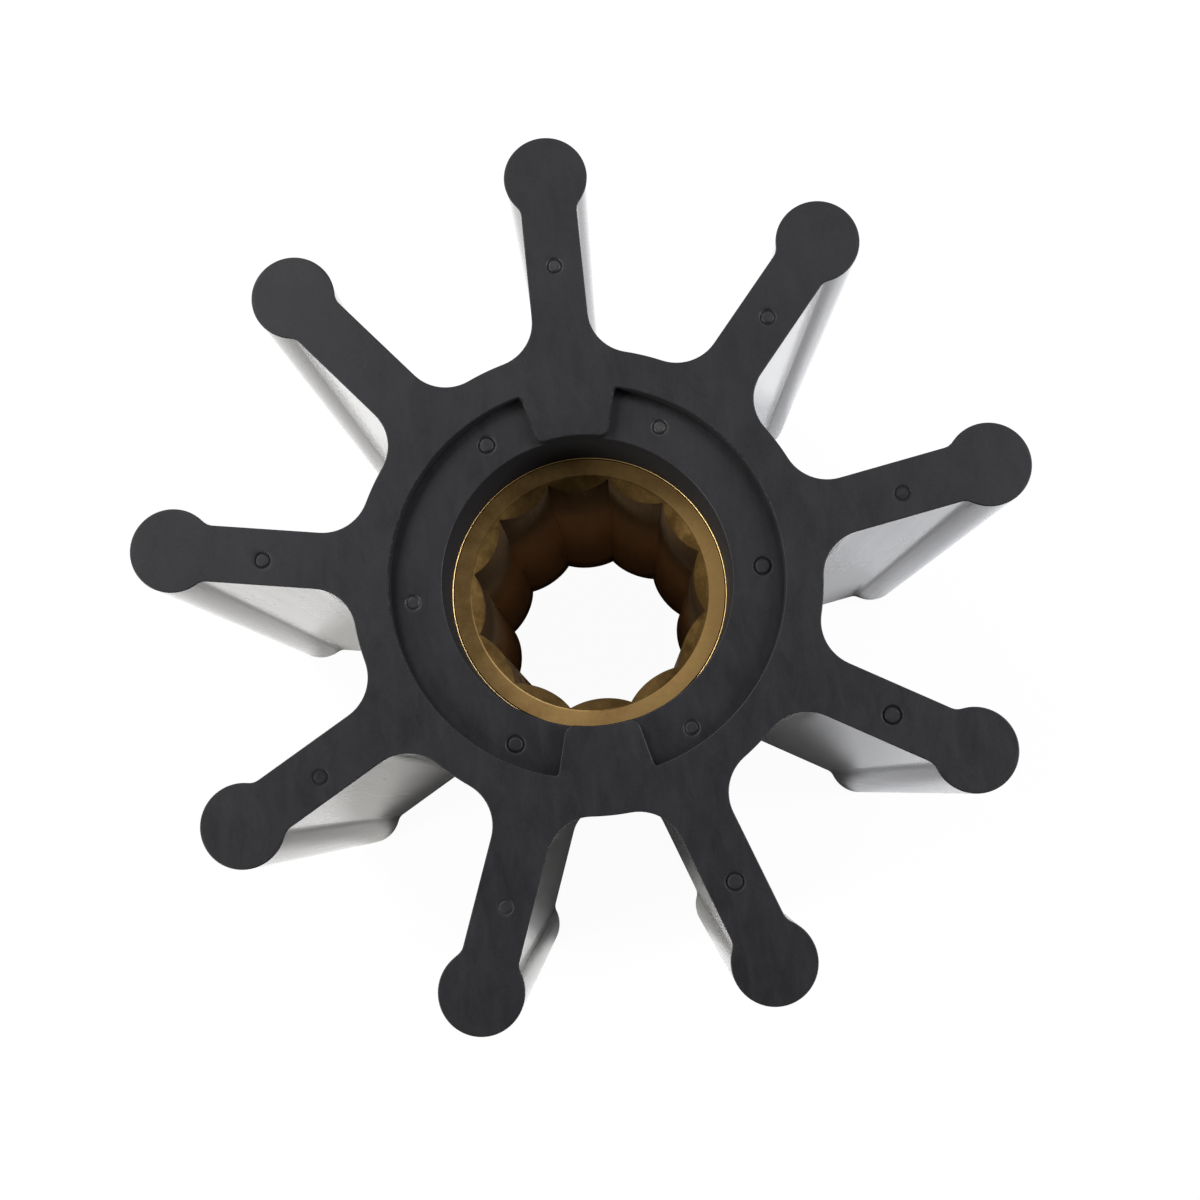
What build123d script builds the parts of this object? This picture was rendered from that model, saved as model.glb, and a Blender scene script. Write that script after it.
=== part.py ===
from build123d import *

import os
from math import cos, radians, sin, tan

# Flexible pump impeller: a moulded rubber wheel with bulb-tipped blades, bonded to a brass bush
# whose bore is splined for the pump shaft. Millimetres. +Z runs along the shaft, from the rear
# face at z = 0 to the front face, and the first blade points along +Y.

# Driving dimensions of the wheel.
WIDTH = 63.5  # rear face to front face, 2 1/2 in
BLADES = 9
FIRST_BLADE_ANGLE = 90.0
TIP_R = 47.5  # blade tips
BULB_R = 4.4  # round sealing bulb at a blade's tip
BLADE_THICKNESS = 5.9
NECK_FILLET = 1.6  # where a blade meets its bulb
HUB_R = 24.3
ROOT_FILLET = 4.7  # where a blade leaves the hub
BORE_R = 15.1  # rubber wall ahead of and behind the bush

# Shallow recess around the bore in each end face, with two lugs left standing in it.
RECESS_R = 20.4
RECESS_DEPTH = 1.2
LUGS = 2  # one in line with the first blade, one opposite
LUG_HALF_ANGLE = 14.0
LUG_CORNER_R = 1.0

# Ring-shaped moulding marks on the front: a shallow groove round a plug at face level.
MARK_R = 1.05
MARK_PLUG_R = 0.75
MARK_DEPTH = 0.2
BLADE_MARK_PITCH_R = 33.7
RECESS_MARKS = 6
RECESS_MARK_PITCH_R = 18.2

# Splined brass bush, set further back from the front face than from the rear one.
BUSH_FRONT_SETBACK = 8.8
BUSH_REAR_SETBACK = 4.2
BUSH_EDGE_CHAMFER = 0.2
SPLINE_LOBES = 12
SPLINE_MAJOR_R = 12.87  # at the sharp valley between two lobes
SPLINE_MINOR_R = 11.63  # at the crest of a lobe
LEAD_IN_R = 13.0  # mouth of the 45 degree lead-in

# Worked out from the dimensions above.
bulb_pitch_r = TIP_R - BULB_R
bush_length = WIDTH - BUSH_FRONT_SETBACK - BUSH_REAR_SETBACK
bush_front_z = WIDTH - BUSH_FRONT_SETBACK
lead_in_depth = LEAD_IN_R - SPLINE_MINOR_R

# A lobe's arc runs through two valleys and the crest between them.
half_pitch = radians(180 / SPLINE_LOBES)
half_chord = SPLINE_MAJOR_R * sin(half_pitch)
lobe_rise = SPLINE_MAJOR_R * cos(half_pitch) - SPLINE_MINOR_R
lobe_arc_r = (half_chord**2 + lobe_rise**2) / (2 * lobe_rise)
lobe_centre_r = SPLINE_MINOR_R + lobe_arc_r


def reach_from_shaft(edge):
    """Distance from the shaft's axis to the middle of an edge."""
    middle = edge.center()
    return Vector(middle.X, middle.Y).length


# Outline of the wheel seen along the shaft: hub disc, straight blades and round bulbs.
with BuildSketch(Plane.XY) as wheel_outline:
    Circle(HUB_R)
    with PolarLocations(0, BLADES, start_angle=FIRST_BLADE_ANGLE):
        with Locations((bulb_pitch_r / 2, 0)):
            Rectangle(bulb_pitch_r, BLADE_THICKNESS)
        with Locations((bulb_pitch_r, 0)):
            Circle(BULB_R)
    # The nearest corners to the shaft are the blade roots, and the furthest are the necks.
    fillet(wheel_outline.vertices().group_by(SortBy.DISTANCE)[0], ROOT_FILLET)
    fillet(wheel_outline.vertices().group_by(SortBy.DISTANCE)[-1], NECK_FILLET)

# Plan of the recess: a disc that two radial wedges, the lugs, are kept out of.
wedge_length = 2 * RECESS_R
wedge_half_width = wedge_length * tan(radians(LUG_HALF_ANGLE))
with BuildSketch(Plane.XY) as recess:
    Circle(RECESS_R)
    with PolarLocations(0, LUGS, start_angle=FIRST_BLADE_ANGLE):
        Polygon(
            (0, 0),
            (wedge_length, -wedge_half_width),
            (wedge_length, wedge_half_width),
            align=None,
            mode=Mode.SUBTRACT,
        )

# One moulding mark.
with BuildSketch(Plane.XY) as mark:
    Circle(MARK_R)
    Circle(MARK_PLUG_R, mode=Mode.SUBTRACT)

# The moulded rubber wheel.
with BuildPart() as rubber_body:
    add(wheel_outline.sketch)
    extrude(amount=WIDTH)

    # Recess in the rear face and in the front face.
    with BuildSketch(Plane.XY):
        add(recess.sketch)
    extrude(amount=RECESS_DEPTH, mode=Mode.SUBTRACT)
    with BuildSketch(Plane.XY.offset(WIDTH)):
        add(recess.sketch)
    extrude(amount=-RECESS_DEPTH, mode=Mode.SUBTRACT)

    # Bore right through, which leaves four sharp corners on each face's lugs to round off.
    with BuildSketch(Plane.XY):
        Circle(BORE_R)
    extrude(amount=WIDTH, mode=Mode.SUBTRACT)
    lug_edges = rubber_body.edges().filter_by(Axis.Z).filter_by(lambda edge: edge.length < BULB_R)
    fillet(lug_edges.group_by(reach_from_shaft)[0], LUG_CORNER_R)

    # Moulding marks: one on each blade, and a ring of them on the front recess's floor.
    with BuildSketch(Plane.XY.offset(WIDTH)):
        with PolarLocations(BLADE_MARK_PITCH_R, BLADES, start_angle=FIRST_BLADE_ANGLE):
            add(mark.sketch)
    extrude(amount=-MARK_DEPTH, mode=Mode.SUBTRACT)
    with BuildSketch(Plane.XY.offset(WIDTH - RECESS_DEPTH)):
        with PolarLocations(RECESS_MARK_PITCH_R, RECESS_MARKS):
            add(mark.sketch)
    extrude(amount=-MARK_DEPTH, mode=Mode.SUBTRACT)

# The bush: a turned sleeve, splined right through and opened by a lead-in at each end.
with BuildPart() as hub_insert:
    with BuildSketch(Plane.XY.offset(BUSH_REAR_SETBACK)):
        Circle(BORE_R)
    extrude(amount=bush_length)
    chamfer(hub_insert.edges().filter_by(GeomType.CIRCLE), BUSH_EDGE_CHAMFER)
    with BuildSketch(Plane.XY.offset(BUSH_REAR_SETBACK)):
        Circle(LEAD_IN_R)
        with PolarLocations(lobe_centre_r, SPLINE_LOBES, start_angle=FIRST_BLADE_ANGLE):
            Circle(lobe_arc_r, mode=Mode.SUBTRACT)
    extrude(amount=bush_length, mode=Mode.SUBTRACT)
    with Locations((0, 0, BUSH_REAR_SETBACK)):
        Cone(
            LEAD_IN_R,
            SPLINE_MINOR_R,
            lead_in_depth,
            align=(Align.CENTER, Align.CENTER, Align.MIN),
            mode=Mode.SUBTRACT,
        )
    with Locations((0, 0, bush_front_z)):
        Cone(
            SPLINE_MINOR_R,
            LEAD_IN_R,
            lead_in_depth,
            align=(Align.CENTER, Align.CENTER, Align.MAX),
            mode=Mode.SUBTRACT,
        )

# Labels and files.
os.makedirs("parts", exist_ok=True)
rubber_body.part.label = "rubber_body"
export_step(rubber_body.part, "parts/rubber_body.step")
hub_insert.part.label = "hub_insert"
export_step(hub_insert.part, "parts/hub_insert.step")
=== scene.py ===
from math import asin, atan2, cos, pi, radians, sin, sqrt

import bmesh
import bpy
import numpy as np
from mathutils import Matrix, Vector
from mathutils.geometry import delaunay_2d_cdt


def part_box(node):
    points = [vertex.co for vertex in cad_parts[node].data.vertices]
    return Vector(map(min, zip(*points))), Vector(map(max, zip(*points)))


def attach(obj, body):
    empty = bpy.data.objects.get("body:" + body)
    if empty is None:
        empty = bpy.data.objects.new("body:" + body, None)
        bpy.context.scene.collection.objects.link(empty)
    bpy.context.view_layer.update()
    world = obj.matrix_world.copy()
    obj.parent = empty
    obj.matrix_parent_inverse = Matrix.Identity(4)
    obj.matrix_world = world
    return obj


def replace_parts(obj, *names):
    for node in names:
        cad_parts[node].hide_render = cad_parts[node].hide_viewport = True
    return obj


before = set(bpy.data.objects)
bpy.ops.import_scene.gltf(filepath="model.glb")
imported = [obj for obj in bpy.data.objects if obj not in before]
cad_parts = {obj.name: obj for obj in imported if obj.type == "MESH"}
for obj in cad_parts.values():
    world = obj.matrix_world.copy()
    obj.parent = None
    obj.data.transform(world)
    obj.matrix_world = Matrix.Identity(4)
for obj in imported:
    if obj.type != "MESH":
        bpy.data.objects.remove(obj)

bl_info = {
    "name": "Flexible pump impeller",
    "version": (1, 0, 0),
    "blender": (4, 5, 0),
    "location": "3D View > Sidebar > Impeller",
    "description": "Adds a moulded rubber impeller on its splined brass bush, and a plain stage",
    "category": "Add Mesh",
}

MM = 0.001

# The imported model's own measures, which the pieces below are fitted to.
WHEEL_LOW, WHEEL_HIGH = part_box("rubber_body")
BUSH_LOW, BUSH_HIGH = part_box("hub_insert")
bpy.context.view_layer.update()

FIRST_BLADE_ANGLE = pi / 2

# Each moulding mark: (step to the right, step up, groove radius, depth share, tone), anticlockwise
# from the first blade and from +X. Millimetres; a tone of 1 is pale with bloom and -1 is dark.
BLADE_MARKS = (
    (0.0, -0.26, 0.72, 0.9, 0.35),
    (0.05, -0.35, 0.85, 0.03, 0.0),
    (0.02, -0.36, 0.76, 1.0, -0.1),
    (0.1, -0.55, 0.74, 0.7, -0.9),
    (0.0, -0.7, 0.7, 0.3, 0.15),
    (0.18, -0.5, 0.86, 1.1, -0.2),
    (0.24, -0.3, 0.9, 1.5, -0.5),
    (0.04, -0.42, 0.72, 0.8, -0.8),
    (-0.06, -0.32, 0.74, 0.8, 0.2),
)
RECESS_MARKS = (
    (0.06, -0.36, 0.86, 1.2, -0.5),
    (0.1, -0.36, 0.7, 0.9, 0.7),
    (0.08, -0.32, 0.82, 1.0, 0.2),
    (0.0, -0.36, 0.7, 0.6, 0.35),
    (0.06, -0.32, 0.84, 1.1, 0.0),
    (0.04, -0.5, 0.72, 0.8, 0.1),
)

# The camera, above the front face: lens and sensor in millimetres, shift in picture widths, and
# the nearest and farthest that it sees in metres.
CAMERA_PLACE = Vector((1.8795, -21.7767, 189.6901)) * MM
CAMERA_TURN = [radians(angle) for angle in (4.7653, 0.9972, -5.9153)]
CAMERA_LENS = 37.274
CAMERA_SENSOR = 36.0
CAMERA_SHIFT = (-0.0045, 0.0709)
CAMERA_CLIP = (0.01, 20.0)

# Soft lamps, aimed at one spot: name, place and width in metres, watts and colour.
LAMPS = (
    ("key_lamp", (-0.42, 0.5, 0.6), 0.45, 5.2, (1.0, 1.0, 1.0)),
    ("left_lamp", (-0.8, -0.22, 0.42), 0.5, 9.8, (1.0, 0.985, 0.95)),
    ("right_lamp", (0.78, 0.0, 0.46), 0.5, 9.0, (0.955, 0.965, 1.0)),
    ("fill_lamp", (0.36, 0.46, 0.7), 0.4, 1.8, (0.93, 0.94, 1.0)),
)
LAMP_AIM = Vector((0, 0, 0.03))

# Plain white, the room's even light, and how much of the white the camera sees and glossy surfaces
# mirror, in the room and on the floor.
WHITE = (1.0, 1.0, 1.0, 1.0)
ROOM_LIGHT = 0.1
ROOM_SEEN, ROOM_MIRRORED = 1.0, 0.06
FLOOR_SEEN, FLOOR_MIRRORED = 0.96, 0.015
FLOOR_REACH = 3.0
FLOOR_DROP = 0.05 * MM

# Steps along each stretch of a blade's outline, from the tip to the middle of the gap.
BULB_STEPS = 26
NECK_STEPS = 6
SIDE_STEPS = 8
ROOT_STEPS = 12
HUB_STEPS = 4
# Steps along a quarter of the edge round the recesses, from the middle of a lug's inner end, and
# round the bore beside a recess.
LUG_END_STEPS = 6
LUG_CORNER_STEPS = 8
LUG_SIDE_STEPS = 6
RECESS_CORNER_STEPS = 4
RECESS_WALL_STEP = radians(2)
OPEN_BORE_STEPS = 33
# Steps round an edge, round a mark and across a lobe, and rows along walls, bore and splines.
EDGE_STEPS = 4
MARK_STEPS = 28
LOBE_STEPS = 24
WALL_ROWS = 14
BORE_ROWS = 12
SPLINE_ROWS = 12

# How far past a lug's corner the bore's edge has its points, in corner radii.
BORE_EDGE_RISE = np.array([0.12, 0.3, 0.5, 0.7, 0.85, 1.0, 1.25, 1.6])
# How far from a moulding mark's groove its rings lie, in groove widths.
MARK_RINGS = np.array([-4.5, -2.6, -1.7, -1.1, -0.55, 0, 0.55, 1.1, 1.7, 2.6])
# The lip round the bush and the tool groove beside it: steps inward and drops, in lip widths.
LIP_STEPS = (0, 0.15, 0.5, 0.8, 1.1, 1.35, 1.6, 1.85, 2.1)
LIP_DROPS = (0.5, 0.15, 0, 0.08, 0.35, 0.85, 1, 0.7, 0)
# How far a lead-in's edges are eased, and how deep the lead-in has to be for that.
LEAD_IN_EASE = 0.06 * MM
LEAD_IN_FULL_EASE = 0.3 * MM

# The part of a noise's range where nearly all of it lies.
NOISE_MIDDLE = {"From Min": 0.3, "From Max": 0.7}

# Edges that turn by more than this are shaded sharp.
WHEEL_SHARP_ANGLE = radians(40)
BUSH_SHARP_ANGLE = radians(32)

# Points nearer than this are one: in metres on a finished piece, in millimetres in a flat region.
SAME_POINT = 0.001 * MM
SAME_PLAN_POINT = 1e-7


# ---------------- colours and nodes


def linear(hex_colour):
    """An sRGB hex colour as linear red, green, blue and alpha."""
    channels = [int(hex_colour[i : i + 2], 16) / 255 for i in (1, 3, 5)]
    return [c / 12.92 if c <= 0.04045 else ((c + 0.055) / 1.055) ** 2.4 for c in channels] + [1.0]


def add_node(tree, kind, values=None, links=None, **settings):
    """Adds one shader node with its settings, its sockets' own values and its links.

    A link comes from a socket, or from a node, which stands for its first output in use.
    """
    node = tree.nodes.new("ShaderNode" + kind)
    for name, value in settings.items():
        setattr(node, name, value)
    for socket, value in (values or {}).items():
        node.inputs[socket].default_value = value
    for socket, source in (links or {}).items():
        if isinstance(source, bpy.types.Node):
            source = next(output for output in source.outputs if output.enabled)
        tree.links.new(source, node.inputs[socket])
    return node


def new_material(name, surface, settings):
    """A material whose surface a function makes in its tree from the piece's own coordinates."""
    material = bpy.data.materials.new(name)
    material.use_nodes = True
    tree = material.node_tree
    tree.nodes.clear()
    place = add_node(tree, "TexCoord").outputs["Object"]
    add_node(tree, "OutputMaterial", links={"Surface": surface(tree, place, settings)})
    return material


def white_share(tree, seen, mirrored):
    """How much of plain white a ray meets instead of what is there, from 0 to 1.

    It is seen * camera ray + mirrored * the greater of glossy ray and transmission ray.
    """
    path = add_node(tree, "LightPath")
    seen_share = add_node(
        tree, "Math", {1: seen}, {0: path.outputs["Is Camera Ray"]}, operation="MULTIPLY"
    )
    mirrored_ray = add_node(
        tree,
        "Math",
        links={0: path.outputs["Is Glossy Ray"], 1: path.outputs["Is Transmission Ray"]},
        operation="MAXIMUM",
    )
    return add_node(
        tree, "Math", {1: mirrored}, {0: mirrored_ray, 2: seen_share}, operation="MULTIPLY_ADD"
    )


# ---------------- materials


def satin_neoprene(tree, place, settings):
    """Black neoprene pressed against a ground steel mould plate.

    It is almost black, evenly satin, with a fine even grain and faint paler bloom in patches.
    """
    # Bloom: patches 9 mm across. Smears: 2 mm wide and 6 mm long, at a slant, where the face was
    # wiped. Grain: 0.36 mm, drawn coarser than the real 0.1 mm so that it shows.
    bloom = add_node(
        tree,
        "TexNoise",
        {"Scale": 1 / (9.09 * MM), "Detail": 5.0, "Roughness": 0.62},
        {"Vector": place},
    )
    wiped = add_node(
        tree,
        "Mapping",
        {"Rotation": (0.0, 0.0, radians(35)), "Scale": (1.0, 0.33, 1.0)},
        {"Vector": place},
    )
    smear = add_node(
        tree,
        "TexNoise",
        {"Scale": 1 / (1.92 * MM), "Detail": 3.0, "Roughness": 0.7, "Distortion": 0.6},
        {"Vector": wiped},
    )
    grain = add_node(
        tree,
        "TexNoise",
        {"Scale": 1 / (0.357 * MM), "Detail": 3.0, "Roughness": 0.6},
        {"Vector": place},
    )
    patches = add_node(
        tree, "MapRange", {"From Min": 0.32, "From Max": 0.68, "To Max": 0.6}, {"Value": bloom}
    )
    smears = add_node(tree, "MapRange", {**NOISE_MIDDLE, "To Max": 0.3}, {"Value": smear})
    speckle = add_node(
        tree,
        "MapRange",
        {"From Min": 0.35, "From Max": 0.75, "To Min": -0.15, "To Max": 0.2},
        {"Value": grain},
    )
    dusty = add_node(tree, "Math", links={0: patches, 1: smears}, operation="ADD")
    share = add_node(tree, "Math", links={0: dusty, 1: speckle}, operation="ADD", use_clamp=True)
    colour = add_node(
        tree,
        "Mix",
        {"A": settings.face_dark, "B": settings.face_pale},
        {"Factor": share},
        data_type="RGBA",
    )
    # The moulding marks' own tone, paler with bloom above 0 and darker below, and blotched where
    # the mould's pins were rough. Blotches: 0.5 mm. The same dark colour is painted shade in the
    # marks' grooves, on the recess's walls and in the bore.
    tone = add_node(tree, "Attribute", attribute_name="tone").outputs["Fac"]
    strength = add_node(tree, "Math", links={0: tone}, operation="ABSOLUTE")
    blotch = add_node(
        tree,
        "TexNoise",
        {"Scale": 1 / (0.526 * MM), "Detail": 3.0, "Roughness": 0.7},
        {"Vector": place},
    )
    rough_pin = add_node(
        tree,
        "MapRange",
        {"From Min": 0.36, "From Max": 0.64, "To Min": -0.6, "To Max": 0.6},
        {"Value": blotch},
    )
    blotched = add_node(
        tree, "Math", links={0: strength, 1: rough_pin, 2: tone}, operation="MULTIPLY_ADD"
    )
    paler = add_node(tree, "MapRange", {"To Max": 0.45}, {"Value": blotched})
    marked = add_node(
        tree, "Mix", {"B": settings.mark_pale}, {"Factor": paler, "A": colour}, data_type="RGBA"
    )
    darker = add_node(
        tree,
        "MapRange",
        {"From Min": -1.0, "From Max": 0.0, "To Min": 0.8, "To Max": 0.0},
        {"Value": blotched},
    )
    marked_and_shaded = add_node(
        tree, "Mix", {"B": settings.mark_dark_and_shade}, {"Factor": darker, "A": marked}, data_type="RGBA"
    )
    gloss = add_node(
        tree, "MapRange", {**NOISE_MIDDLE, "To Min": 0.44, "To Max": 0.56}, {"Value": smear}
    )
    matt = add_node(tree, "Mix", {"B": 0.95}, {"Factor": darker, "A": gloss}, data_type="FLOAT")
    relief = add_node(tree, "Bump", {"Strength": 0.35, "Distance": 0.03 * MM}, {"Height": grain})
    return add_node(
        tree,
        "BsdfPrincipled",
        {"IOR": 1.5, "Specular IOR Level": 0.3},
        {"Base Color": marked_and_shaded, "Roughness": matt, "Normal": relief},
    )


def glossy_neoprene(tree, place, settings):
    """Black neoprene moulded against polished steel cores, on the blades' walls.

    It is black head on and mirrors its surroundings at a glancing angle, a little blurred, with
    drag streaks along the shaft where the cores were drawn out. The hollow necks are brownish and
    duller, a painted shade that makes a dark line along each crease.
    """
    # Streaks: 1.5 mm wide and some 50 mm long, along the shaft. Bloom: patches 7 mm across.
    drawn = add_node(tree, "Mapping", {"Scale": (1.0, 1.0, 0.03)}, {"Vector": place})
    streak = add_node(
        tree,
        "TexNoise",
        {"Scale": 1 / (1.54 * MM), "Detail": 2.0, "Roughness": 0.5},
        {"Vector": drawn},
    )
    bloom = add_node(
        tree,
        "TexNoise",
        {"Scale": 1 / (7.14 * MM), "Detail": 4.0, "Roughness": 0.6},
        {"Vector": place},
    )
    colour = add_node(
        tree,
        "Mix",
        {"A": settings.wall_dark, "B": settings.wall_pale},
        {"Factor": bloom},
        data_type="RGBA",
    )
    gloss = add_node(
        tree, "MapRange", {**NOISE_MIDDLE, "To Min": 0.27, "To Max": 0.33}, {"Value": streak}
    )
    # The necks' tone is painted shade: it makes them browner, rougher and less coated.
    tone = add_node(tree, "Attribute", attribute_name="tone").outputs["Fac"]
    neck_shade = add_node(
        tree,
        "MapRange",
        {"From Min": -1.0, "From Max": 0.0, "To Min": 1.0, "To Max": 0.0},
        {"Value": tone},
    )
    neck_shaded = add_node(
        tree, "Mix", {"B": settings.wall_neck_shade}, {"Factor": neck_shade, "A": colour}, data_type="RGBA"
    )
    dulled = add_node(tree, "Mix", {"B": 0.62}, {"Factor": neck_shade, "A": gloss}, data_type="FLOAT")
    skin = add_node(tree, "MapRange", {"To Min": 1.0, "To Max": 0.1}, {"Value": neck_shade})
    return add_node(
        tree,
        "BsdfPrincipled",
        {"IOR": 1.5, "Coat Roughness": 0.1, "Coat IOR": 1.5},
        {"Base Color": neck_shaded, "Roughness": dulled, "Coat Weight": skin},
    )


def turned_brass(tree, place, settings):
    """Leaded brass, faced in a lathe and dulled by handling.

    It is a brownish gold, half matt, with fine concentric tool rings and darker tarnish in patches.
    """
    flat = add_node(tree, "VectorMath", {1: (1.0, 1.0, 0.0)}, {0: place}, operation="MULTIPLY")
    reach = add_node(tree, "VectorMath", links={0: flat}, operation="LENGTH")
    # Tool rings: 0.18 mm apart, one turn of the lathe's feed. Tarnish: patches 4 mm across.
    rings = add_node(tree, "Math", {1: 2 * pi / (0.18 * MM)}, {0: reach}, operation="MULTIPLY")
    wave = add_node(tree, "Math", links={0: rings}, operation="SINE")
    tarnish = add_node(
        tree,
        "TexNoise",
        {"Scale": 1 / (3.85 * MM), "Detail": 6.0, "Roughness": 0.68},
        {"Vector": place},
    )
    patches = add_node(tree, "MapRange", {"From Min": 0.3, "From Max": 0.78}, {"Value": tarnish})
    colour = add_node(
        tree,
        "Mix",
        {"A": settings.brass_bright, "B": settings.brass_dull},
        {"Factor": patches},
        data_type="RGBA",
    )
    gloss = add_node(
        tree, "MapRange", {**NOISE_MIDDLE, "To Min": 0.38, "To Max": 0.5}, {"Value": tarnish}
    )
    # Above 0, edges worn bright with a painted highlight; below 0, tarnish with painted shade on
    # the grooves, the flat ends, the inner edge and the lead-ins.
    tone = add_node(tree, "Attribute", attribute_name="tone").outputs["Fac"]
    rubbed_highlight = add_node(tree, "MapRange", links={"Value": tone})
    # The tarnish and its painted shade are mottled, 0.85 to 1.15 times as thick, in the same
    # patches.
    mottle = add_node(
        tree, "MapRange", {**NOISE_MIDDLE, "To Min": -0.85, "To Max": -1.15}, {"Value": tarnish}
    )
    tarnish_and_shade = add_node(
        tree, "Math", links={0: tone, 1: mottle}, operation="MULTIPLY", use_clamp=True
    )
    brown = add_node(
        tree,
        "Mix",
        {"B": settings.tarnish_thin_and_shade},
        {"Factor": tarnish_and_shade, "A": colour},
        data_type="RGBA",
    )
    edged = add_node(
        tree, "Mix", {"B": settings.brass_rubbed_highlight}, {"Factor": rubbed_highlight, "A": brown}, data_type="RGBA"
    )
    dulled = add_node(tree, "Mix", {"B": 0.72}, {"Factor": tarnish_and_shade, "A": gloss}, data_type="FLOAT")
    smooth = add_node(tree, "Mix", {"B": 0.44}, {"Factor": rubbed_highlight, "A": dulled}, data_type="FLOAT")
    relief = add_node(tree, "Bump", {"Strength": 0.12, "Distance": 0.01 * MM}, {"Height": wave})
    return add_node(
        tree,
        "BsdfPrincipled",
        {"Metallic": 1.0},
        {"Base Color": edged, "Roughness": smooth, "Normal": relief},
    )


def broached_brass(tree, place, settings):
    """Brass with its splines broached and left to tarnish.

    It is a dull brown with almost no shine, streaked along the shaft by the broach, with painted
    shade at its front mouth, a painted light that makes it paler deeper in, and dark again towards
    the rear end.
    """
    # Streaks: 0.4 mm wide and some 10 mm long. Tarnish: patches 5 mm across.
    drawn = add_node(tree, "Mapping", {"Scale": (1.0, 1.0, 0.04)}, {"Vector": place})
    streak = add_node(
        tree,
        "TexNoise",
        {"Scale": 1 / (0.417 * MM), "Detail": 4.0, "Roughness": 0.6},
        {"Vector": drawn},
    )
    tarnish = add_node(
        tree,
        "TexNoise",
        {"Scale": 1 / (5.0 * MM), "Detail": 5.0, "Roughness": 0.6},
        {"Vector": place},
    )
    # A painted light makes it paler over 20 mm in from the front, where less light reaches down the
    # splines; it also grows paler over 6 mm in from the rear.
    front, rear = BUSH_HIGH.z, BUSH_LOW.z
    height = add_node(tree, "SeparateXYZ", links={"Vector": place}).outputs["Z"]
    deep = add_node(
        tree,
        "MapRange",
        {"From Min": front, "From Max": front - 20 * MM, "To Min": -0.1, "To Max": 1.2},
        {"Value": height},
    )
    behind = add_node(
        tree,
        "MapRange",
        {"From Min": rear, "From Max": rear + 6 * MM, "To Min": 0.1, "To Max": 1.0},
        {"Value": height},
    )
    # Painted shade on the sides where the tone says so and the lamps light the mouth, whole for 6
    # mm from the front, gone by 26.
    tone = add_node(tree, "Attribute", attribute_name="tone").outputs["Fac"]
    mouth = add_node(
        tree,
        "MapRange",
        {"From Min": front - 6 * MM, "From Max": front - 26 * MM, "To Min": 0.95, "To Max": 0.0},
        {"Value": height},
        interpolation_type="SMOOTHSTEP",
    )
    thick = add_node(tree, "Math", links={0: tone, 1: mouth}, operation="MULTIPLY")
    patches = add_node(tree, "Math", links={0: streak, 1: tarnish}, operation="MULTIPLY")
    share = add_node(
        tree, "Math", {1: 0.6}, {0: patches, 2: deep}, operation="MULTIPLY_ADD", use_clamp=True
    )
    thin = add_node(tree, "Math", links={0: share, 1: behind}, operation="MULTIPLY")
    colour = add_node(
        tree,
        "Mix",
        {"A": settings.tarnish_dark, "B": settings.tarnish_pale_and_light},
        {"Factor": thin},
        data_type="RGBA",
    )
    mouth_shaded = add_node(
        tree, "Mix", {"B": settings.painted_mouth_shade}, {"Factor": thick, "A": colour}, data_type="RGBA"
    )
    relief = add_node(tree, "Bump", {"Strength": 0.2, "Distance": 0.02 * MM}, {"Height": streak})
    return add_node(
        tree,
        "BsdfPrincipled",
        {"Roughness": 0.8, "Specular IOR Level": 0.03, "Specular Tint": settings.spline_shine},
        {"Base Color": mouth_shaded, "Normal": relief},
    )


def matt_floor(tree, place, settings):
    """Matt white card, which the camera sees as nearly white and metal and gloss see as pale.

    It is evenly lit, keeps the soft shadow of what stands on it and has a barely visible fibre.
    """
    # Fibre: 1 mm.
    fibre = add_node(tree, "TexNoise", {"Scale": 1 / (1.0 * MM), "Detail": 2.0}, {"Vector": place})
    relief = add_node(tree, "Bump", {"Strength": 0.05, "Distance": 0.02 * MM}, {"Height": fibre})
    card = add_node(tree, "BsdfDiffuse", {"Color": settings.floor}, {"Normal": relief})
    white = add_node(tree, "Emission", {"Color": WHITE, "Strength": 1.0})
    share = white_share(tree, FLOOR_SEEN, FLOOR_MIRRORED)
    return add_node(tree, "MixShader", links={0: share, 1: card, 2: white})


# ---------------- meshes


def directions(turn):
    """Unit vectors in plan, (cos t, sin t) at each angle t."""
    return np.stack([np.cos(turn), np.sin(turn)], axis=-1)


def lifted(plan, height):
    """Plan points at their heights, as one list of points. Rows may share either of the two."""
    grid = np.broadcast_arrays(plan[..., 0], plan[..., 1], height)
    return np.stack(grid, axis=-1).reshape(-1, 3)


def arc(centre, radius, start, end, steps):
    """Points of an arc and the unit vectors from its centre to them.

    A point is centre + radius * (cos t, sin t), with t going evenly from start to end.
    """
    away = directions(np.linspace(start, end, steps + 1))
    return np.asarray(centre) + radius * away, away


def turned(points, angle):
    """Plan points or vectors turned about the shaft by an angle."""
    c, s = cos(angle), sin(angle)
    return points @ np.array([[c, s], [-s, c]])


def mirrored(points, signs):
    """Plan points or vectors with their x and y times these signs, in the opposite order."""
    return (points * signs)[::-1]


def join_stretches(stretches):
    """Joins stretches of (points, normals) end to end, each without its last point."""
    points = np.concatenate([p[:-1] for p, _ in stretches])
    normals = np.concatenate([n[:-1] for _, n in stretches])
    return points, normals


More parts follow.
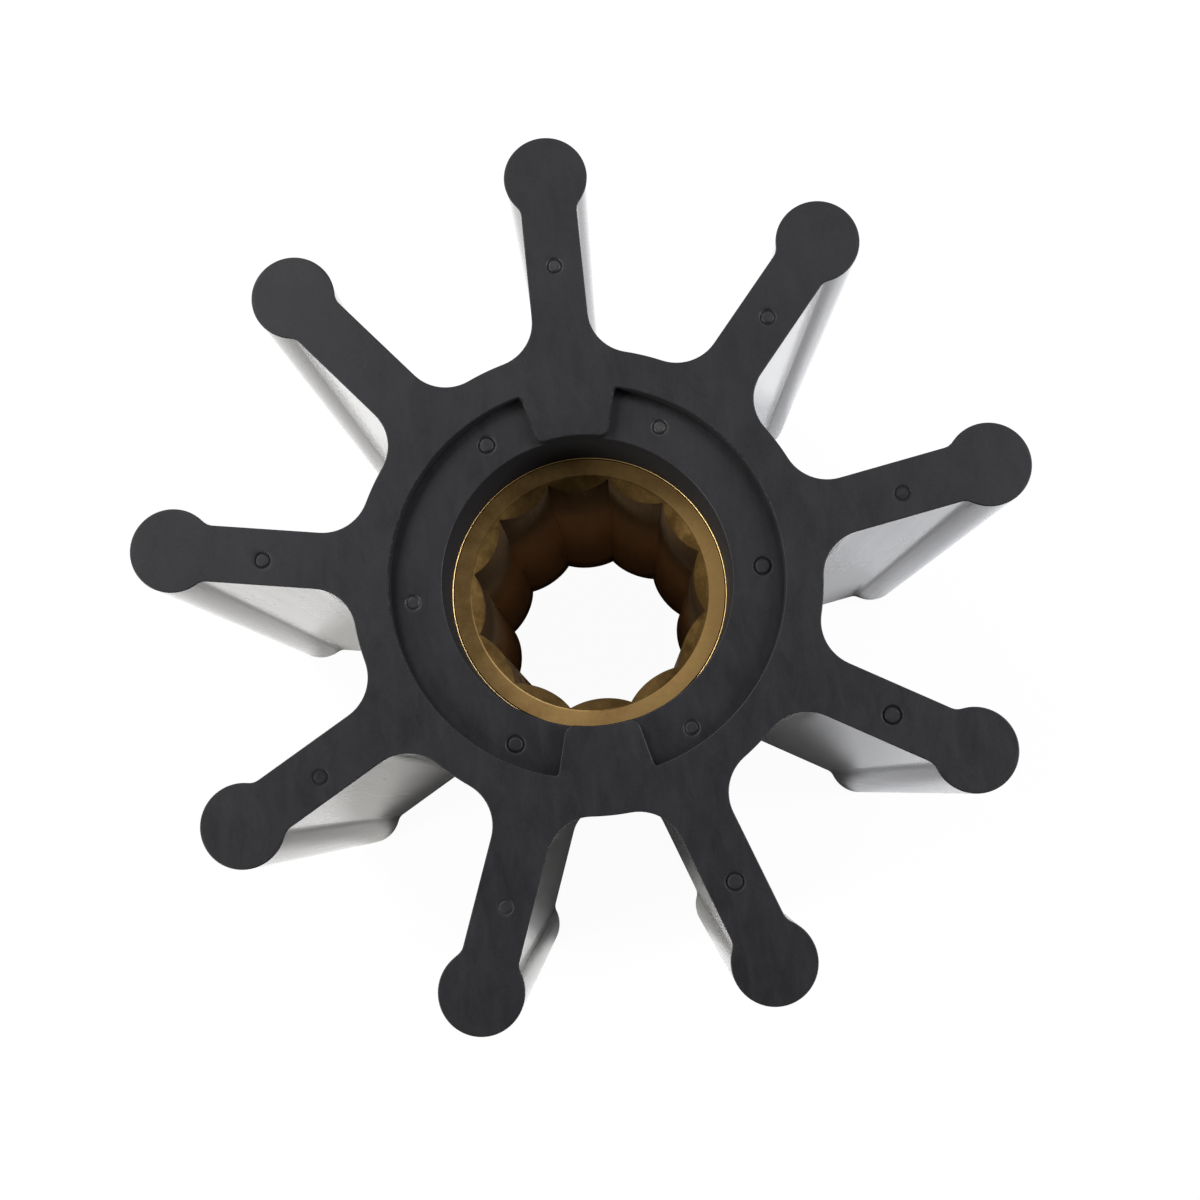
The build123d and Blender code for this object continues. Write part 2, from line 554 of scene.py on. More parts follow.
def half_blade(size):
    """Half a blade in plan, along +X, from its tip to the middle of the gap: points and normals.

    The tip is an arc about the bulb's centre, the neck and the root are arcs about the centres of
    circles that touch the blade's straight side, and the hub is an arc about the shaft.
    """
    half = size.blade_thickness / 2
    pitch = size.tip_radius - size.bulb_radius
    neck_y, root_y = half + size.neck_radius, half + size.root_radius
    neck_x = pitch - sqrt((size.bulb_radius + size.neck_radius) ** 2 - neck_y**2)
    root_x = sqrt((size.hub_radius + size.root_radius) ** 2 - root_y**2)
    bulb_end = atan2(neck_y, neck_x - pitch)
    root_end = atan2(-root_y, -root_x)
    hub_start = asin(root_y / (size.hub_radius + size.root_radius))
    bulb, bulb_out = arc((pitch, 0), size.bulb_radius, 0, bulb_end, BULB_STEPS)
    neck, neck_in = arc((neck_x, neck_y), size.neck_radius, bulb_end - pi, -pi / 2, NECK_STEPS)
    side = np.linspace((neck_x, half), (root_x, half), SIDE_STEPS + 1)
    root, root_in = arc((root_x, root_y), size.root_radius, -pi / 2, root_end, ROOT_STEPS)
    hub, hub_out = arc((0, 0), size.hub_radius, hub_start, pi / size.blades, HUB_STEPS)
    stretches = [
        (bulb, bulb_out),
        (neck, -neck_in),
        (side, np.tile((0.0, 1.0), (SIDE_STEPS + 1, 1))),
        (root, -root_in),
        (hub, hub_out),
    ]
    points, normals = join_stretches(stretches)
    return np.vstack([points, hub[-1:]]), np.vstack([normals, hub_out[-1:]])


def wheel_outline(size):
    """The wheel's closed outline in plan, anticlockwise from the first blade's tip.

    Each blade gives its half outline and then the next blade's half outline mirrored.
    Returns the points and the outward normals.
    """
    half = half_blade(size)
    other_half = [mirrored(part, (1, -1)) for part in half]
    stretches = []
    for blade in range(size.blades):
        here = FIRST_BLADE_ANGLE + 2 * pi * blade / size.blades
        beyond = here + 2 * pi / size.blades
        stretches.append([turned(part, here) for part in half])
        stretches.append([turned(part, beyond) for part in other_half])
    return join_stretches(stretches)


def quarter_lug(size):
    """From the middle of a lug's inner end, along +X, to a recess's middle: points and normals.

    The stretches are: the bore, the lug's round corner, its radial side, the recess's tight corner
    and the recess's outer wall. The normals point into the standing rubber. The third result is
    the place in the list where the bore ends, and the fourth is the plan angle there.
    """
    along = np.array((cos(size.lug_half_angle), sin(size.lug_half_angle)))
    across = np.array((-along[1], along[0]))
    round_r, tight_r = size.lug_corner_radius, size.recess_corner_radius
    round_s = sqrt((size.bore_radius + round_r) ** 2 - round_r**2)
    tight_s = sqrt((size.recess_radius - tight_r) ** 2 - tight_r**2)
    round_c = round_s * along - round_r * across
    tight_c = tight_s * along + tight_r * across
    bore_end = atan2(round_c[1], round_c[0])
    wall_start = atan2(tight_c[1], tight_c[0])
    across_turn = size.lug_half_angle + pi / 2
    bore, bore_out = arc((0, 0), size.bore_radius, 0, bore_end, LUG_END_STEPS)
    corner, corner_out = arc(
        round_c, round_r, bore_end - pi, across_turn - 2 * pi, LUG_CORNER_STEPS
    )
    side = np.linspace(round_s * along, tight_s * along, LUG_SIDE_STEPS + 1)
    tight, tight_out = arc(
        tight_c, tight_r, size.lug_half_angle - pi / 2, wall_start, RECESS_CORNER_STEPS
    )
    step = RECESS_WALL_STEP
    wall_turn = np.arange(np.ceil(wall_start / step + 0.5) * step, pi / 2 + step / 2, step)
    wall_turn = np.concatenate([[wall_start], wall_turn])
    wall_out = directions(wall_turn)
    stretches = [
        (bore, bore_out),
        (corner, -corner_out),
        (side, np.tile(-across, (LUG_SIDE_STEPS + 1, 1))),
        (tight, tight_out),
        (size.recess_radius * wall_out, wall_out),
    ]
    points, normals = join_stretches(stretches)
    points = np.vstack([points, size.recess_radius * wall_out[-1:]])
    return points, np.vstack([normals, wall_out[-1:]]), len(bore) - 1, bore_end


def standing_rubber(size):
    """The closed edge of the rubber that stands round the recesses, lugs included.

    It is the quarter from the middle of a lug to the middle of a recess, mirrored and turned to
    close, with the first lug in line with the first blade. Returns the points, the normals into
    the rubber and, for each of the two recesses, the points of its wall.
    """
    *quarter, first, _ = quarter_lug(size)
    half = join_stretches([quarter, [mirrored(part, (-1, 1)) for part in quarter]])
    points = quarter[0]
    wall = np.vstack([points[first:], mirrored(points[first:-1], (-1, 1))])
    stretches, walls = [], []
    for angle in (FIRST_BLADE_ANGLE, FIRST_BLADE_ANGLE + pi):
        closing = [turned(part[:1], angle + pi) for part in quarter]
        stretches.append([np.vstack([turned(h, angle), end]) for h, end in zip(half, closing)])
        walls.append(turned(wall, angle))
    return *join_stretches(stretches), walls


def bore_columns(size):
    """Plan angles round the bore, and the radius of the rounding on the recess floor's edge there.

    The radius rises from 0 at a lug's corner as a smooth step, 3 * x^2 - 2 * x^3, and is 0 along a
    lug's inner end. The third result is the number of angles along half a lug's inner end.
    """
    _, _, first, bore_end = quarter_lug(size)
    lug = np.linspace(0, bore_end, first + 1)
    rise = BORE_EDGE_RISE * size.lug_corner_radius / size.bore_radius
    open_turn = np.linspace(bore_end + rise[-1], pi / 2, OPEN_BORE_STEPS + 1)
    quarter = np.concatenate([lug, bore_end + rise[:-1], open_turn])
    share = np.clip((quarter - bore_end) / rise[-1], 0, 1)
    radius = size.bore_edge_radius * share**2 * (3 - 2 * share)
    half = np.concatenate([quarter[:-1], (pi - quarter[::-1])[:-1]])
    half_radius = np.concatenate([radius[:-1], radius[::-1][:-1]])
    turn = np.concatenate([half, half + pi]) + FIRST_BLADE_ANGLE
    return turn, np.concatenate([half_radius, half_radius]), first


def ring_quads(rows, columns):
    """Faces of a grid with its rows joined one to the next, and its columns in a ring."""
    index = np.arange(rows * columns).reshape(rows, columns)
    beyond = np.roll(index, -1, axis=1)
    quads = np.stack([index[:-1], beyond[:-1], beyond[1:], index[1:]], axis=-1)
    return quads.reshape(-1, 4)


def carried_profile(points, normals, profile):
    """A wall: a profile of (step along the normal, height) pairs carried along a closed path.

    A point is (path + step * normal, height).
    """
    step, height = np.asarray(profile).T
    plan = points[None] + step[:, None, None] * normals[None]
    return lifted(plan, height[:, None]), ring_quads(len(profile), len(points))


def rounded_edge(radius, steps):
    """(step into the solid, drop below the face) pairs of a quarter round, from the face down."""
    turn = np.linspace(0, pi / 2, steps + 1)
    return np.stack([radius * (1 - np.sin(turn)), radius * (1 - np.cos(turn))], axis=1)


def flat_region(loops, height):
    """Triangles that fill the plane between closed loops, by an even-odd count of crossings."""
    plan = np.concatenate(loops)
    ends = np.cumsum([len(loop) for loop in loops])
    after = np.arange(len(plan)) + 1
    after[ends - 1] = ends - [len(loop) for loop in loops]
    edges = np.stack([np.arange(len(plan)), after], axis=1)
    found = delaunay_2d_cdt([Vector(p) for p in plan / MM], edges.tolist(), [], 0, SAME_PLAN_POINT)
    flat = np.array([tuple(v) for v in found[0]]) * MM
    triangles = np.array(found[2])
    middle = flat[triangles].mean(axis=1)
    start, end = plan[edges[:, 0]], plan[edges[:, 1]]
    x, y = middle[:, :1], middle[:, 1:]
    across = (start[None, :, 1] > y) != (end[None, :, 1] > y)
    rise = end[:, 1] - start[:, 1]
    rise = np.where(rise == 0, 1.0, rise)
    meet = start[:, 0] + (y - start[:, 1]) / rise * (end[:, 0] - start[:, 0])
    inside = (across & (x < meet)).sum(axis=1) % 2 == 1
    return np.column_stack([flat, np.full(len(flat), height)]), triangles[inside]


def moulding_mark(size, angle, pitch, height, mark):
    """A moulding mark: a disc that a narrow round groove is pressed into.

    At a distance r from its middle the drop is depth * exp(-((r - groove radius) / width) ** 2),
    and nothing at the rim, where the flat rubber begins. A painted shade lies in the groove by the
    same curve, half as wide again. The mark's own tone covers the middle and fades out over a third
    of the groove's radius, to nothing 3 widths outside the groove.
    Returns the rim and two surfaces: the rings and the middle fan.
    """
    right, up, groove_radius, share, tone = mark
    centre = pitch * np.array([cos(angle), sin(angle)]) + np.array([right, up]) * MM
    groove = groove_radius * MM
    width = size.mark_groove_width
    reach = np.concatenate([groove + width * MARK_RINGS, [size.mark_rim_radius]])
    drop = size.mark_depth * share * np.exp(-(((reach - groove) / width) ** 2))
    drop[-1] = 0
    ring = directions(np.linspace(0, 2 * pi, MARK_STEPS, endpoint=False))
    plan = centre + reach[:, None, None] * ring[None]
    verts = lifted(plan, (height - drop)[:, None])
    middle_reach = (reach[1:] + reach[:-1]) / 2
    shade = tone * np.clip(3 * (groove + 3 * width - middle_reach) / groove, 0, 1)
    # Painted shade in the groove, taken off the tone.
    shade -= 0.7 * share * np.exp(-(((middle_reach - groove) / (1.5 * width)) ** 2))
    rings = (verts, ring_quads(len(reach), MARK_STEPS), 0, np.repeat(shade, MARK_STEPS))
    spokes = np.arange(MARK_STEPS)
    fan = np.stack([np.full(MARK_STEPS, MARK_STEPS), spokes, (spokes + 1) % MARK_STEPS], axis=1)
    middle = np.vstack([verts[:MARK_STEPS], [*centre, height]])
    return plan[-1], [rings, (middle, fan, 0, tone)]


def wall_parts(size, outline, outward):
    """The wall round the blades and the hub, glossy, and its satin rounding to each face.

    The tone is -0.5 * sin(pi * share of the way across) on the necks, a painted shade along their
    creases, and 0 elsewhere.
    """
    edge = rounded_edge(size.edge_radius, EDGE_STEPS)
    rows = np.linspace(size.width - size.edge_radius, size.edge_radius, WALL_ROWS + 1)[1:-1]
    profile = np.vstack(
        [
            np.column_stack([-edge[:, 0], size.width - edge[:, 1]]),
            np.column_stack([np.zeros(len(rows)), rows]),
            np.column_stack([-edge[::-1, 0], edge[::-1, 1]]),
        ]
    )
    verts, quads = carried_profile(outline, outward, profile)
    half = np.zeros(BULB_STEPS + NECK_STEPS + SIDE_STEPS + ROOT_STEPS + HUB_STEPS)
    across = (np.arange(NECK_STEPS) + 0.5) / NECK_STEPS
    half[BULB_STEPS : BULB_STEPS + NECK_STEPS] = -0.5 * np.sin(pi * across)
    tone = np.tile(np.concatenate([half, half[::-1]]), size.blades * WALL_ROWS)
    rounding = EDGE_STEPS * len(outline)
    return [
        (verts, quads[:rounding], 0),
        (verts, quads[rounding:-rounding], 1, tone),
        (verts, quads[-rounding:], 0),
    ]


def end_parts(size, outer_loop, front):
    """One end: marks, recess walls, flat face, recess floors and their rounding into the bore."""
    face = size.width if front else 0.0
    inward = -1 if front else 1
    floor = face + inward * size.recess_depth
    parts, holes, floor_holes = [], [], []
    if front:
        blades = FIRST_BLADE_ANGLE + np.arange(size.blades) * 2 * pi / size.blades
        spots = np.arange(size.recess_marks) * 2 * pi / size.recess_marks
        rings = (
            (blades, BLADE_MARKS, size.blade_mark_pitch, face, holes),
            (spots, RECESS_MARKS, size.recess_mark_pitch, floor, floor_holes),
        )
        for angles, marks, pitch, level, rims in rings:
            for angle, mark in zip(angles, marks):
                rim, surfaces = moulding_mark(size, angle, pitch, level, mark)
                rims.append(rim)
                parts += surfaces

    # The recess walls, painted dark as shade. Their rounding's painted shade is
    # 0.5 + 0.9 * cos(turn - 105 degrees), from 0 to 1, and the walls below it are painted dark all
    # round.
    standing, into, walls = standing_rubber(size)
    lip = rounded_edge(size.recess_edge_radius, EDGE_STEPS)
    wall = np.vstack(
        [
            np.column_stack([lip[:, 0], face + inward * lip[:, 1]]),
            [(0.0, face + inward * 0.6 * size.recess_depth), (0.0, floor)],
        ]
    )
    middles = (standing + np.roll(standing, -1, axis=0)) / 2
    away = np.arctan2(middles[:, 1], middles[:, 0])
    edge_shade = -0.95 * np.clip(0.5 + 0.9 * np.cos(away - radians(105)), 0, 1)
    tone = np.concatenate([np.tile(edge_shade, EDGE_STEPS), np.full(2 * len(standing), -0.9)])
    parts.append((*carried_profile(standing, into, wall), 0, tone))
    inner_loop = standing + size.recess_edge_radius * into
    parts.append((*flat_region([outer_loop, inner_loop, *holes], face), 0))

    # The recess floors, and the rounding from them into the bore.
    turn, bore_edge, first = bore_columns(size)
    ring = directions(turn)
    rim = (size.bore_radius + bore_edge)[:, None] * ring
    half = len(turn) // 2
    for side, wall_points in enumerate(walls):
        back = side * half + np.arange(first + 1, half - first)
        loop = np.vstack([wall_points, rim[back][::-1]])
        here = [h for h in floor_holes if (h.mean(axis=0)[0] < 0) == (side == 0)]
        parts.append((*flat_region([loop, *here], floor), 0))
    drop = rounded_edge(1.0, EDGE_STEPS)
    reach = size.bore_radius + bore_edge[None] * drop[:, :1]
    height = floor + inward * bore_edge[None] * drop[:, 1:]
    verts = lifted(reach[..., None] * ring, height)
    parts.append((verts, ring_quads(len(drop), len(turn)), 0))
    return parts


def wheel_parts(size):
    """Every surface of the rubber wheel, as (points, faces, material), or with the faces' tone.

    Material 0 is the satin of the end faces and 1 the gloss of the walls.
    """
    outline, outward = wheel_outline(size)
    outer_loop = outline - size.edge_radius * outward
    parts = wall_parts(size, outline, outward)
    parts += end_parts(size, outer_loop, True) + end_parts(size, outer_loop, False)
    # The bore from one rounding to the other, painted dark as shade, its tone so low that no blotch
    # in it is paler.
    turn, bore_edge, _ = bore_columns(size)
    share = np.linspace(0, 1, BORE_ROWS + 1)[:, None]
    top = size.width - size.recess_depth - bore_edge[None]
    height = top + share * (size.recess_depth + bore_edge[None] - top)
    verts = lifted(size.bore_radius * directions(turn), height)
    parts.append((verts, ring_quads(BORE_ROWS + 1, len(turn)), 0, -2.0))
    return parts


def bush_parts(size):
    """The bush as one closed grid: turn about the shaft by position along the profile.

    The profile is (radius, height) pairs from the outside, over the front end, down the splines
    and back round the rear end. On the splines the radius at an angle f from a lobe's middle is
    C * cos(f) - sqrt(a^2 - C^2 * sin(f)^2), a circle of radius a centred C from the shaft.
    """
    columns = size.lobes * LOBE_STEPS
    turn = FIRST_BLADE_ANGLE + np.arange(columns) * 2 * pi / columns
    half_pitch = pi / size.lobes
    across = (np.arange(columns) * 2 * pi / columns + half_pitch) % (2 * half_pitch) - half_pitch
    # A lobe is part of the circle through two valleys and the crest between them.
    chord = size.spline_major_radius * sin(half_pitch)
    rise = size.spline_major_radius * cos(half_pitch) - size.spline_minor_radius
    lobe = (chord**2 + rise**2) / (2 * rise)
    centre = size.spline_minor_radius + lobe
    spline = centre * np.cos(across) - np.sqrt(lobe**2 - (centre * np.sin(across)) ** 2)
    depth = size.lead_in_radius - spline
    even = np.ones(columns)
    outside, lip, tip = size.bush_radius, size.bush_lip_width, size.bush_edge_radius
    ease = LEAD_IN_EASE * np.clip(depth / LEAD_IN_FULL_EASE, 0.2, 1)
    # A thin lip round the outside and a tool groove beside it, the flat end, and the lead-in.
    outer = list(zip(LIP_STEPS, LIP_DROPS))
    end = [((outside - step * lip) * even, drop * lip * even) for step, drop in outer] + [
        ((size.lead_in_radius + tip) * even, 0 * even),
        ((size.lead_in_radius + 0.29 * tip) * even, 0.12 * tip * even),
        (size.lead_in_radius - 0.3 * ease, 0.4 * ease),
        (spline + 0.7 * ease, depth - 0.7 * ease),
        (spline + 0.12 * ease, depth - 0.02 * ease),
        (spline, depth + 0.6 * ease),
    ]
    reach = np.array([r for r, _ in end])
    drop = np.array([d for _, d in end])
    front = size.bush_front - drop
    rear = size.bush_rear + drop[::-1]
    share = np.linspace(0, 1, SPLINE_ROWS + 1)[1:-1, None]
    wall = front[-1] + share * (rear[0] - front[-1])
    # The last row is the first again, which closes the profile along the outside.
    radius = np.vstack([reach, np.broadcast_to(spline, wall.shape), reach[::-1], reach[:1]])
    height = np.vstack([front, wall, rear, front[:1]])
    verts = lifted(radius[..., None] * directions(turn), height)
    quads = ring_quads(len(radius), columns).reshape(len(radius) - 1, columns, 4)
    # The grooves are dark, painted shade, and the lips carry a painted highlight, most at 20 and
    # 200 degrees. Tarnish with painted shade is strongest at 150 on the flat ends, at 60, 0 and 180
    # on the lead-ins and at 0 and 180 inside, and the inner edge has a painted highlight at 225 and
    # painted
    # shade elsewhere: each is a cosine of the turn from there.
    tone = np.zeros((len(quads), columns))
    lip_end, flat, rows = 4, len(outer) - 1, len(end)
    tone[:lip_end] = 0.4 + 0.4 * np.cos(2 * (turn - radians(20)))
    tone[lip_end:flat] = -1.0
    tone[flat] = -0.36 - 0.34 * np.cos(turn - radians(150))
    tone[flat + 1 : flat + 3] = -0.9 + 1.3 * np.cos(turn - radians(225)).clip(0, 1) ** 4
    lead_in = -0.9 - 0.08 * np.cos(turn - radians(60)) - 0.06 * np.cos(2 * turn)
    tone[flat + 3 : rows - 2] = lead_in
    tone[-1 - rows : -1] = tone[:rows][::-1]
    inside = np.zeros(len(quads), bool)
    inside[rows - 2 : 1 - rows] = True
    tone[inside] = 0.7 + 0.3 * np.cos(2 * turn)
    return [
        (verts, quads[~inside].reshape(-1, 4), 0, tone[~inside].ravel()),
        (verts, quads[inside].reshape(-1, 4), 1, tone[inside].ravel()),
    ]


def make_piece(name, parts, materials, sharp_angle):
    """One closed mesh object from its surfaces: joined, doubles merged and faces turned outward."""
    verts, faces, slots, tones, offset = [], [], [], [], 0
    for points, part_faces, slot, *tone in parts:
        verts.append(points)
        faces += (part_faces + offset).tolist()
        slots.append(np.full(len(part_faces), slot))
        tones.append(np.broadcast_to(tone[0] if tone else 0.0, len(part_faces)))
        offset += len(points)
    mesh = bpy.data.meshes.new(name)
    mesh.from_pydata(np.concatenate(verts), [], faces)
    mesh.polygons.foreach_set("material_index", np.concatenate(slots).astype(np.int32))
    mesh.polygons.foreach_set("use_smooth", np.ones(len(mesh.polygons), bool))
    tone_layer = mesh.attributes.new("tone", "FLOAT", "FACE")
    tone_layer.data.foreach_set("value", np.concatenate(tones).astype(np.float32))
    shape = bmesh.new()
    shape.from_mesh(mesh)
    bmesh.ops.remove_doubles(shape, verts=shape.verts, dist=SAME_POINT)
    bmesh.ops.recalc_face_normals(shape, faces=shape.faces)
    shape.to_mesh(mesh)
    shape.free()
    edge_of_corner = np.empty(len(mesh.loops), np.int32)
    mesh.loops.foreach_get("edge_index", edge_of_corner)
    unpaired = int((np.bincount(edge_of_corner, minlength=len(mesh.edges)) != 2).sum())
    if unpaired:
        raise RuntimeError(f"{name} isn't closed: {unpaired} of its edges don't join two faces")
    mesh.set_sharp_from_angle(angle=sharp_angle)
    piece = bpy.data.objects.new(name, mesh)
    bpy.context.scene.collection.objects.link(piece)
    for material in materials:
        mesh.materials.append(material)
    even = piece.modifiers.new("even_shading", "WEIGHTED_NORMAL")
    even.keep_sharp = True
    return piece


# ---------------- settings


def length(name, description, default):
    """A length that a user may change, in metres."""
    return bpy.props.FloatProperty(
        name=name, description=description, default=default, min=0.0, subtype="DISTANCE"
    )


def count(name, description, default, least, most):
    """A number of like features that a user may change."""
    return bpy.props.IntProperty(
        name=name, description=description, default=default, min=least, max=most
    )


def colour(name, description, default):
    """A colour that a user may change, given as sRGB hex."""
    return bpy.props.FloatVectorProperty(
        name=name,
        description=description,
        default=linear(default),
        size=4,
        min=0.0,
        max=1.0,
        subtype="COLOR",
    )


class ImpellerWheelSizes(bpy.types.PropertyGroup):
    """Sizes of the moulded rubber wheel."""

    width: length("Width", "Rear face to front face", WHEEL_HIGH.z - WHEEL_LOW.z)
    blades: count("Blades", "Blades round the hub", 9, 5, 14)
    tip_radius: length("Tip radius", "Shaft's axis to the blade tips", WHEEL_HIGH.y)
    bulb_radius: length("Bulb radius", "Round sealing bulb at a blade's tip", 4.4 * MM)
    blade_thickness: length("Blade thickness", "Straight part of a blade", 5.9 * MM)
    neck_radius: length("Neck radius", "Hollow where a blade meets its bulb", 1.6 * MM)
    hub_radius: length("Hub radius", "Outside of the hub between the blades", 24.3 * MM)
    root_radius: length("Root radius", "Hollow where a blade leaves the hub", 4.7 * MM)
    edge_radius: length("Edge radius", "Rounding along the faces' outer edges", 0.12 * MM)
    bore_radius: length("Bore radius", "Rubber wall ahead of and behind the bush", BUSH_HIGH.y)
    bore_edge_radius: length("Bore edge radius", "Rounding from a recess into the bore", 0.14 * MM)
    recess_radius: length("Recess radius", "Outer wall of the recess in each face", 20.4 * MM)
    recess_depth: length("Recess depth", "Face to recess floor", 1.2 * MM)
    recess_corner_radius: length("Recess corner radius", "Lug's side to outer wall", 0.35 * MM)
    recess_edge_radius: length("Recess edge radius", "Rounding along a recess's edge", 0.16 * MM)
    lug_half_angle: bpy.props.FloatProperty(
        name="Lug half angle",
        description="Half of what a lug takes up round the shaft",
        default=radians(14),
        subtype="ANGLE",
    )
    lug_corner_radius: length("Lug corner radius", "Round corners at a lug's inner end", 1.0 * MM)
    blade_mark_pitch: length("Blade mark pitch", "Axis to a blade's moulding mark", 33.7 * MM)
    recess_mark_pitch: length("Recess mark pitch", "Axis to a recess's moulding mark", 18.2 * MM)
    recess_marks: count("Recess marks", "Moulding marks round the front recess", 6, 2, 6)
    mark_groove_width: length("Mark groove width", "Half the width of a mark's groove", 0.11 * MM)
    mark_rim_radius: length("Mark rim radius", "Where a moulding mark has faded out", 1.35 * MM)
    mark_depth: length("Mark depth", "Depth of a moulding mark's groove", 0.2 * MM)


class ImpellerBushSizes(bpy.types.PropertyGroup):
    """Sizes of the splined brass bush."""

    bush_rear: length("Rear end", "Rear face of the wheel to the bush's rear end", BUSH_LOW.z)
    bush_front: length("Front end", "Rear face of the wheel to the bush's front end", BUSH_HIGH.z)
    bush_radius: length("Outside radius", "Outside of the bush", BUSH_HIGH.y)
    bush_lip_width: length("Outer lip width", "Thin lip and groove round each end", 0.12 * MM)
    bush_edge_radius: length("Inner edge radius", "Rounding from an end to the lead-in", 0.12 * MM)
    lobes: count("Lobes", "Spline lobes", 12, 6, 24)
    spline_major_radius: length("Valley radius", "Sharp valley between two lobes", 12.87 * MM)
    spline_minor_radius: length("Crest radius", "Crest of a lobe", 11.63 * MM)
    lead_in_radius: length("Lead-in radius", "Mouth of the 45 degree lead-in", 13.0 * MM)


class ImpellerColours(bpy.types.PropertyGroup):
    """Colours of the rubber, the brass and the stage."""

    face_dark: colour("Face", "Black of the pressed end faces", "#101013")
    face_pale: colour("Face bloom", "Paler bloom on the end faces", "#1c1c1f")
    mark_pale: colour("Pale mark", "Bloom in a moulding mark", "#454442")
    # Also painted shade in the marks' grooves, on the recess's walls and in the bore.
    mark_dark_and_shade: colour("Dark mark", "Bare black in a moulding mark", "#0c0b0d")
    wall_dark: colour("Wall", "Black of the glossy walls", "#1d1c1b")
    wall_pale: colour("Wall bloom", "Paler bloom on the walls", "#2e2c29")
    # Painted shade along the blades' hollow necks.
    wall_neck_shade: colour("Wall stain", "Release agent left in the hollow necks", "#332c26")
    brass_bright: colour("Brass", "Brass where it was faced", "#dcb574")
    # Painted highlight on the bush's lip and inner edge, strongest on one side.
    brass_rubbed_highlight: colour("Rubbed brass", "Edges rubbed bright", "#e2c68c")
    brass_dull: colour("Dulled brass", "Brass where it has tarnished", "#ae8a58")
    tarnish_dark: colour("Dark tarnish", "Splines where the tarnish is thick", "#523d2a")
    # Also a painted light, paler deeper down the splines.
    tarnish_pale_and_light: colour("Paler tarnish", "Splines where the tarnish is lighter", "#dcbc94")
    # Painted shade at the mouth of the splines.
    painted_mouth_shade: colour("Thick tarnish", "Splines' ends where the tarnish is thickest", "#2e2014")
    # Tarnish with painted shade on the grooves, flat ends, inner edge and lead-ins.
    tarnish_thin_and_shade: colour("Thin tarnish", "Lead-ins at the bush's ends", "#4c3a1e")
    spline_shine: colour("Spline shine", "Tint of the splines' faint shine", "#8a6238")
    floor: colour("Floor", "Matt floor", "#f2f2f2")


# ---------------- operators


class IMPELLER_OT_stage(bpy.types.Operator):
    """Adds the camera, the lamps, the world and the plain pale floor"""

    bl_idname = "impeller.stage"
    bl_label = "Add stage"

    def execute(self, context):
        scene = context.scene
        lens = bpy.data.cameras.new("camera")
        lens.lens = CAMERA_LENS
        lens.sensor_width = CAMERA_SENSOR
        lens.shift_x, lens.shift_y = CAMERA_SHIFT
        lens.clip_start, lens.clip_end = CAMERA_CLIP
        camera = bpy.data.objects.new("camera", lens)
        camera.location = CAMERA_PLACE
        camera.rotation_euler = CAMERA_TURN
        scene.collection.objects.link(camera)
        scene.camera = camera

        for name, place, across, power, tint in LAMPS:
            light = bpy.data.lights.new(name, "AREA")
            light.shape = "DISK"
            light.size = across
            light.energy = power
            light.color = tint
            lamp = bpy.data.objects.new(name, light)
            lamp.location = place
            aim = LAMP_AIM - lamp.location
            lamp.rotation_euler = aim.to_track_quat("-Z", "Y").to_euler()
            scene.collection.objects.link(lamp)

        world = bpy.data.worlds.new("pale_room")
        world.use_nodes = True
        scene.world = world
        tree = world.node_tree
        tree.nodes.clear()
        room = add_node(tree, "Background", {"Color": WHITE, "Strength": ROOM_LIGHT})
        white = add_node(tree, "Background", {"Color": WHITE, "Strength": 1.0})
        share = white_share(tree, ROOM_SEEN, ROOM_MIRRORED)
        either = add_node(tree, "MixShader", links={0: share, 1: room, 2: white})
        add_node(tree, "OutputWorld", links={"Surface": either})

        floor_mesh = bpy.data.meshes.new("floor")
        far = FLOOR_REACH
        corners = [(-far, -far, 0), (far, -far, 0), (far, far, 0), (-far, far, 0)]
        floor_mesh.from_pydata(corners, [], [(0, 1, 2, 3)])
        floor = bpy.data.objects.new("floor", floor_mesh)
        floor.location.z = -FLOOR_DROP
        scene.collection.objects.link(floor)
        card = new_material("card_matt_white", matt_floor, scene.impeller_colours)
        floor_mesh.materials.append(card)

        scene.view_settings.view_transform = "Standard"
        return {"FINISHED"}


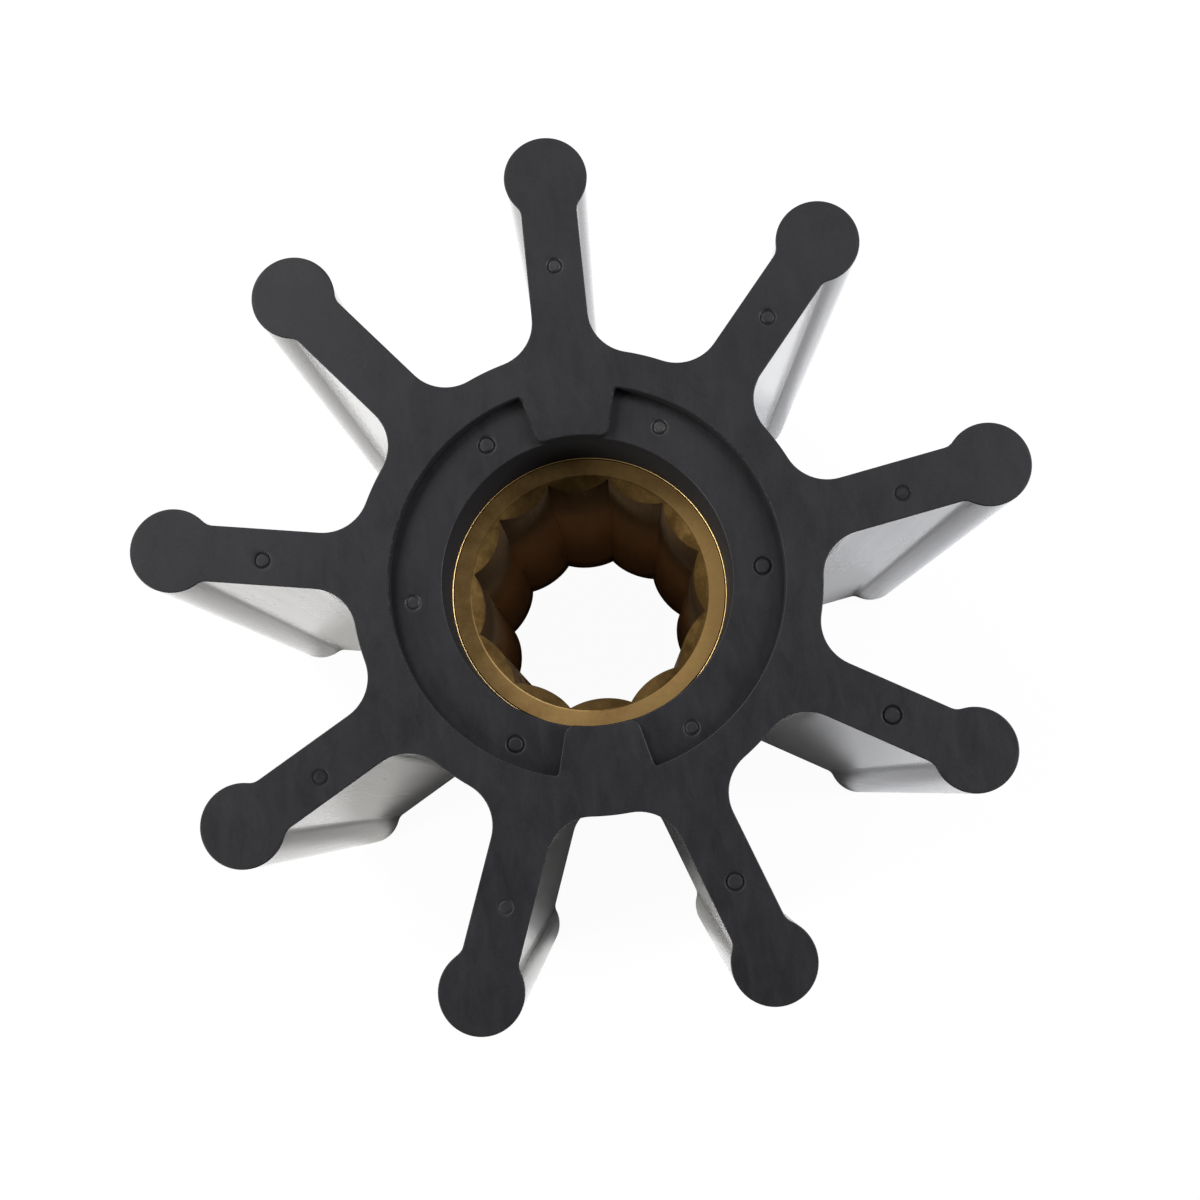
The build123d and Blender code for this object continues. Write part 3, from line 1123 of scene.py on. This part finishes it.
class IMPELLER_OT_wheel(bpy.types.Operator):
    """Adds the moulded rubber wheel"""

    bl_idname = "impeller.wheel"
    bl_label = "Add rubber wheel"

    def execute(self, context):
        colours = context.scene.impeller_colours
        materials = [
            new_material("neoprene_pressed_satin", satin_neoprene, colours),
            new_material("neoprene_core_moulded_gloss", glossy_neoprene, colours),
        ]
        parts = wheel_parts(context.scene.impeller_wheel)
        wheel = make_piece("rubber_wheel", parts, materials, WHEEL_SHARP_ANGLE)
        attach(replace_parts(wheel, "rubber_body"), "root")
        return {"FINISHED"}


class IMPELLER_OT_bush(bpy.types.Operator):
    """Adds the splined brass bush"""

    bl_idname = "impeller.bush"
    bl_label = "Add splined bush"

    def execute(self, context):
        colours = context.scene.impeller_colours
        materials = [
            new_material("brass_turned_dull", turned_brass, colours),
            new_material("brass_broached_tarnished", broached_brass, colours),
        ]
        parts = bush_parts(context.scene.impeller_bush)
        bush = make_piece("splined_bush", parts, materials, BUSH_SHARP_ANGLE)
        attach(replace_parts(bush, "hub_insert"), "root")
        return {"FINISHED"}


class IMPELLER_PT_panel(bpy.types.Panel):
    """Lists the impeller's sizes, colours and pieces"""

    bl_idname = "IMPELLER_PT_panel"
    bl_label = "Impeller"
    bl_space_type = "VIEW_3D"
    bl_region_type = "UI"
    bl_category = "Impeller"

    def draw(self, context):
        for place, group in SETTINGS.items():
            box = self.layout.box()
            for name in group.__annotations__:
                box.prop(getattr(context.scene, place), name)
        for operator in OPERATORS:
            self.layout.operator(operator.bl_idname)


SETTINGS = {
    "impeller_wheel": ImpellerWheelSizes,
    "impeller_bush": ImpellerBushSizes,
    "impeller_colours": ImpellerColours,
}
OPERATORS = (IMPELLER_OT_stage, IMPELLER_OT_bush, IMPELLER_OT_wheel)
CLASSES = (*SETTINGS.values(), *OPERATORS, IMPELLER_PT_panel)


def register():
    """Registers the classes and gives the scene its settings."""
    for cls in CLASSES:
        bpy.utils.register_class(cls)
    for place, group in SETTINGS.items():
        setattr(bpy.types.Scene, place, bpy.props.PointerProperty(type=group))


def unregister():
    """Takes the settings off the scene and unregisters the classes."""
    for place in SETTINGS:
        delattr(bpy.types.Scene, place)
    for cls in reversed(CLASSES):
        bpy.utils.unregister_class(cls)


def main():
    """Makes the stage and the pieces."""
    register()
    bpy.ops.impeller.stage()
    bpy.ops.impeller.bush()
    bpy.ops.impeller.wheel()


if __name__ == "__main__":
    main()
